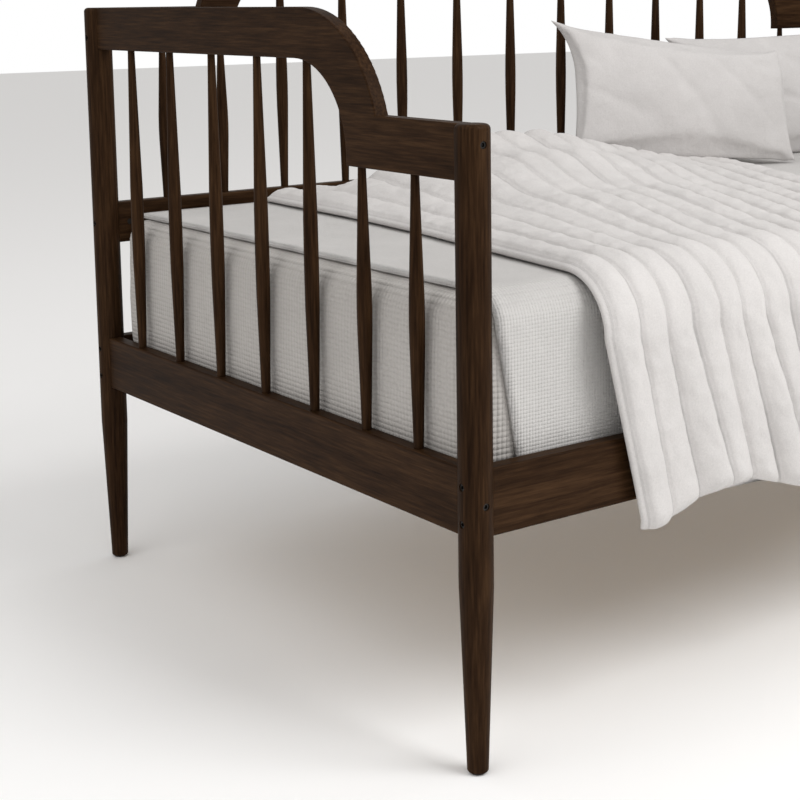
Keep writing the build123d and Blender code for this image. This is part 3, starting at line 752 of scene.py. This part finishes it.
def true_edges(obj, lower, upper):
    """Brings the lower edge down flat to where it rests and, if upper is given, the upper edge up."""
    low, high = {}, {}
    for vertex in obj.data.vertices:
        x, y, z = vertex.co
        place = round(x / PILLOW_BIN)
        low[place] = min(y, low.get(place, y))
        high[place] = max(y, high.get(place, y))
    for vertex in obj.data.vertices:
        x, y, z = vertex.co
        want, edges = (lower, low) if y < 0 else (upper, high)
        if want is None:
            continue
        place = x / PILLOW_BIN
        first = floor(place)
        near = edges.get(first, edges[round(place)])
        far = edges.get(first + 1, edges[round(place)])
        edge = near + (far - near) * (place - first)
        vertex.co.y = y + (want - edge) * (y / edge) ** 2


def shape_ends(obj, ear, right_top, right_low, sag):
    """Draws the ends in between the corners: the upper left corner stands out as an ear, and the
    right end leans. All in metres."""
    for vertex in obj.data.vertices:
        x, y, z = vertex.co
        u, v = 2 * x / PILLOW_L, 2 * y / PILLOW_H
        left, right = max(0.0, -u), max(0.0, u)
        high, low = max(0.0, v), max(0.0, -v)
        corner = min(1.0, left) ** 3 * min(1.0, high) ** 2.5
        vertex.co.x += END_DRAWN * left**4 * (1 - corner) - ear * corner
        vertex.co.x += right_low * right**4 * low**3 - right_top * right**3 * high**1.5
        vertex.co.y += EAR_RISE * corner - sag * smooth((u + 0.6) / 1.4) * high**2


def soften(obj, seed):
    """Adds the slump and the fine wrinkles that gather towards the seams and the corners."""
    half_l, half_h = PILLOW_L / 2, PILLOW_H / 2
    fine, slump, crease = GATHER, SLUMP, CREASE
    for vertex in obj.data.vertices:
        x, y, z = vertex.co
        u, v = x / half_l, y / half_h
        near = max(abs(u), abs(v))
        rim = smooth((near - 0.45) / 0.5) * (1 - smooth((near - 0.93) / 0.07))
        side = 1 if z > 0 else -1
        across = y if abs(u) > abs(v) else x
        gather = fine[0] * wobble(across * fine[1], near * 1.4, seed + side) * rim
        broad = slump[0] * wobble(x, y, seed + 3 * side, slump[1]) * (1 - near**4)
        pull = abs(wobble(x * 6 + y * 9, y * 4 - x * 3, seed + side))
        broad -= crease[0] * max(0.0, crease[1] - pull) / crease[1] * (1 - near**3)
        vertex.co.z = z + side * (gather + broad)


def pillow_frame(place, rest, turn, lean, roll):
    """The matrix that stands a pillow on its long side: turned about the vertical, leaning back, and
    rolled so that its left end is up. Angles in degrees."""
    a, b, c = radians(turn), radians(lean), radians(roll)
    along = Vector((cos(a), -sin(a), 0))
    out = Vector((-sin(a) * cos(b), -cos(a) * cos(b), sin(b)))
    rise = PILLOW_H / 2 * cos(b) + PILLOW_L / 2 * sin(c)
    x_dir = along * cos(c) - out.cross(along) * sin(c)
    y_dir = out.cross(x_dir)
    grid = Matrix((x_dir, y_dir, out)).transposed().to_4x4()
    return Matrix.Translation((*place, BED_LEVEL + rest + rise)) @ grid


def pillow(name, place, rest, turn, lean, roll, seed, edges, ends):
    """One finished pillow, in place."""
    obj = pillow_seed(name)
    inflate(obj)
    soften(obj, seed)
    true_thickness(obj)
    true_edges(obj, *edges)
    shape_ends(obj, *ends)
    obj.data.transform(pillow_frame(place, rest, turn, lean, roll))
    obj.modifiers.new("smooth", "SUBSURF").render_levels = 1
    obj.modifiers["smooth"].levels = 1
    apply_modifiers(obj)
    obj.data.polygons.foreach_set("use_smooth", [True] * len(obj.data.polygons))
    face_out(obj)
    return obj


mattress_cover = mattress_mesh()
face_out(mattress_cover)
coverlet_cover = coverlet_mesh()
apply_modifiers(coverlet_cover)
face_out(coverlet_cover)
quilt_cover = quilt_mesh()
rear_stance = (REAR_PILLOW, REAR_REST, 0.0, REAR_LEAN, 0.0)
rear = pillow("rear_pillow_case", *rear_stance, 2.0, REAR_EDGES, REAR_ENDS)
front_stance = (FRONT_PILLOW, FRONT_REST, FRONT_TURN, FRONT_LEAN, FRONT_ROLL)
front = pillow("front_pillow_case", *front_stance, 11.0, FRONT_EDGES, FRONT_ENDS)

for piece, node, body, slot in (
    (mattress_cover, "mattress", "mattress", "mattress_cotton"),
    (coverlet_cover, "coverlet", "covers", "coverlet_cotton"),
    (quilt_cover, "quilt", "covers", "quilt_cotton"),
    (rear, "rear_pillow", "rear_pillow", "pillow_linen"),
    (front, "front_pillow", "front_pillow", "pillow_linen"),
):
    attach(piece, body)
    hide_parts(node)


def stage_floor():
    """A plain pale floor."""
    half = FLOOR_SIZE / 2
    corners = [(-half, -half, 0), (half, -half, 0), (half, half, 0), (-half, half, 0)]
    s = Shader("floor_paint")
    s.surface.inputs["Base Color"].default_value = (*FLOOR_COLOR, 1)
    s.surface.inputs["Roughness"].default_value = 0.9
    s.surface.inputs["Specular IOR Level"].default_value = 0.1
    return make_mesh("floor", corners, [(0, 1, 2, 3)], s.material)


def area_light(name, place, size, power):
    """A square soft light, aimed at the bed."""
    lamp = bpy.data.lights.new(name, "AREA")
    lamp.size = size
    lamp.energy = power
    obj = link(bpy.data.objects.new(name, lamp))
    obj.location = place
    obj.rotation_euler = (Vector(AIM) - Vector(place)).to_track_quat("-Z", "Y").to_euler()
    return obj


def white_world():
    """White to the camera, and a soft even light for everything else."""
    world = bpy.data.worlds.new("studio")
    world.use_nodes = True
    bpy.context.scene.world = world
    tree = world.node_tree
    light = tree.nodes["Background"]
    light.inputs["Color"].default_value = (*SKY_COLOR, 1)
    light.inputs["Strength"].default_value = SKY_STRENGTH
    seen = tree.nodes.new("ShaderNodeBackground")
    seen.inputs["Color"].default_value = (1, 1, 1, 1)
    path = tree.nodes.new("ShaderNodeLightPath")
    mix = tree.nodes.new("ShaderNodeMixShader")
    tree.links.new(path.outputs["Is Camera Ray"], mix.inputs[0])
    tree.links.new(light.outputs[0], mix.inputs[1])
    tree.links.new(seen.outputs[0], mix.inputs[2])
    tree.links.new(mix.outputs[0], tree.nodes["World Output"].inputs["Surface"])


def camera():
    """The photograph's camera."""
    yaw, pitch, roll = radians(CAMERA_YAW), radians(CAMERA_PITCH), radians(CAMERA_ROLL)
    forward = Vector((cos(yaw) * cos(pitch), sin(yaw) * cos(pitch), sin(pitch)))
    right = Vector((sin(yaw), -cos(yaw), 0))
    up = right.cross(forward)
    tilted = right * cos(roll) + up * sin(roll)
    upright = -right * sin(roll) + up * cos(roll)
    data = bpy.data.cameras.new("camera")
    data.lens = CAMERA_LENS
    data.sensor_width = 36.0
    data.shift_x, data.shift_y = CAMERA_SHIFT
    data.clip_end = 100.0
    obj = link(bpy.data.objects.new("camera", data))
    turn = Matrix((tilted, upright, -forward)).transposed().to_4x4()
    obj.matrix_world = Matrix.Translation(CAMERA_AT) @ turn
    bpy.context.scene.camera = obj


stage_floor()
area_light("key", KEY_AT, KEY_SIZE, KEY_POWER)
area_light("fill", FILL_AT, FILL_SIZE, FILL_POWER)
white_world()
camera()
bpy.context.scene.view_settings.view_transform = "Standard"
